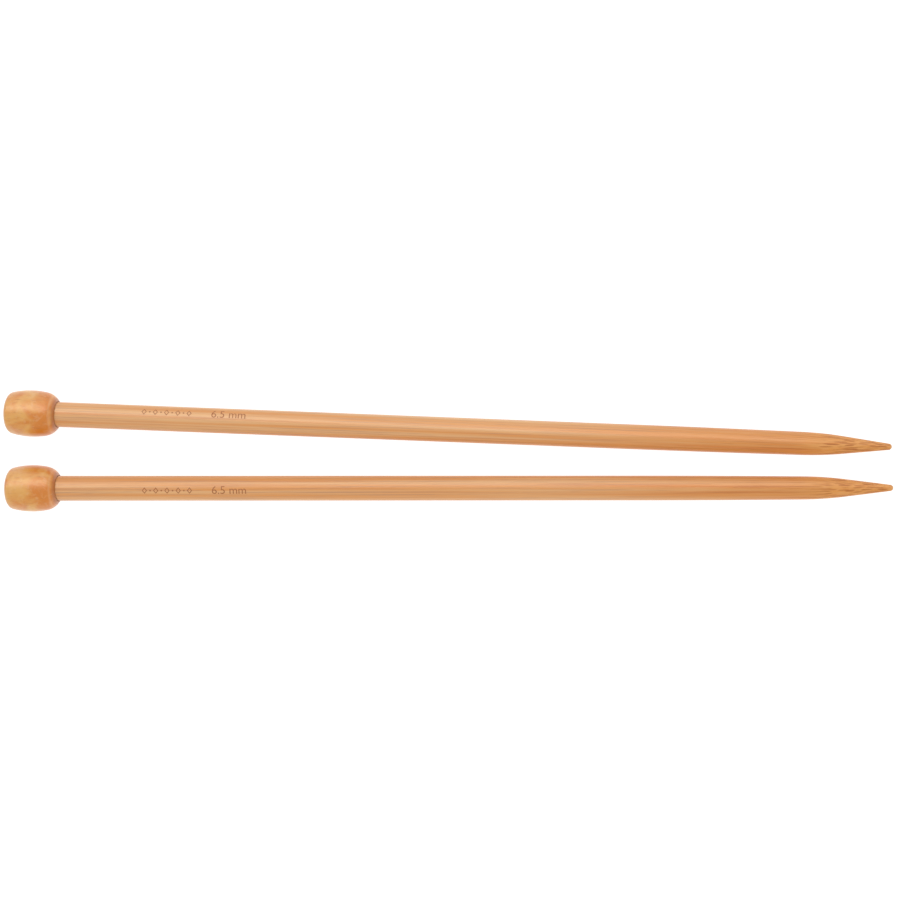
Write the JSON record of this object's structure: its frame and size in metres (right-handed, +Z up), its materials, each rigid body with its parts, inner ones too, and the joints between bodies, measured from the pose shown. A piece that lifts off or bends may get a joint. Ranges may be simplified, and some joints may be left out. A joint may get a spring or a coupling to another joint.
{
  "type": "straight knitting needles",
  "caption": "Straight bamboo knitting needles, each with a long round shaft, a tapered point at one end and a barrel-shaped wooden knob glued over the other.",
  "frame": {"origin": "on the surface that the needles lie on, under the centre of both needles' box", "axes": "+X along the front needle towards its point, +Y from the front needle towards the rear one, +Z up"},
  "size_m": [0.2318, 0.0316, 0.0121],
  "materials": {
    "bamboo": "polished and waxed bamboo, long straight fibres",
    "turned_wood": "turned hardwood, oiled, satin",
    "wood_glue": "dried wood glue, hidden inside the knob"
  },
  "bodies": {
    "front_needle": {"front_shaft": "bamboo", "front_glue": "wood_glue", "front_knob": "turned_wood"},
    "rear_needle": {"rear_shaft": "bamboo", "rear_glue": "wood_glue", "rear_knob": "turned_wood"}
  },
  "joints": [
    {"name": "rear_needle_slide", "type": "slide", "parent": "front_needle", "child": "rear_needle", "axis": [0, 1, 0], "range_m": [-0.005, 0.1]}
  ]
}
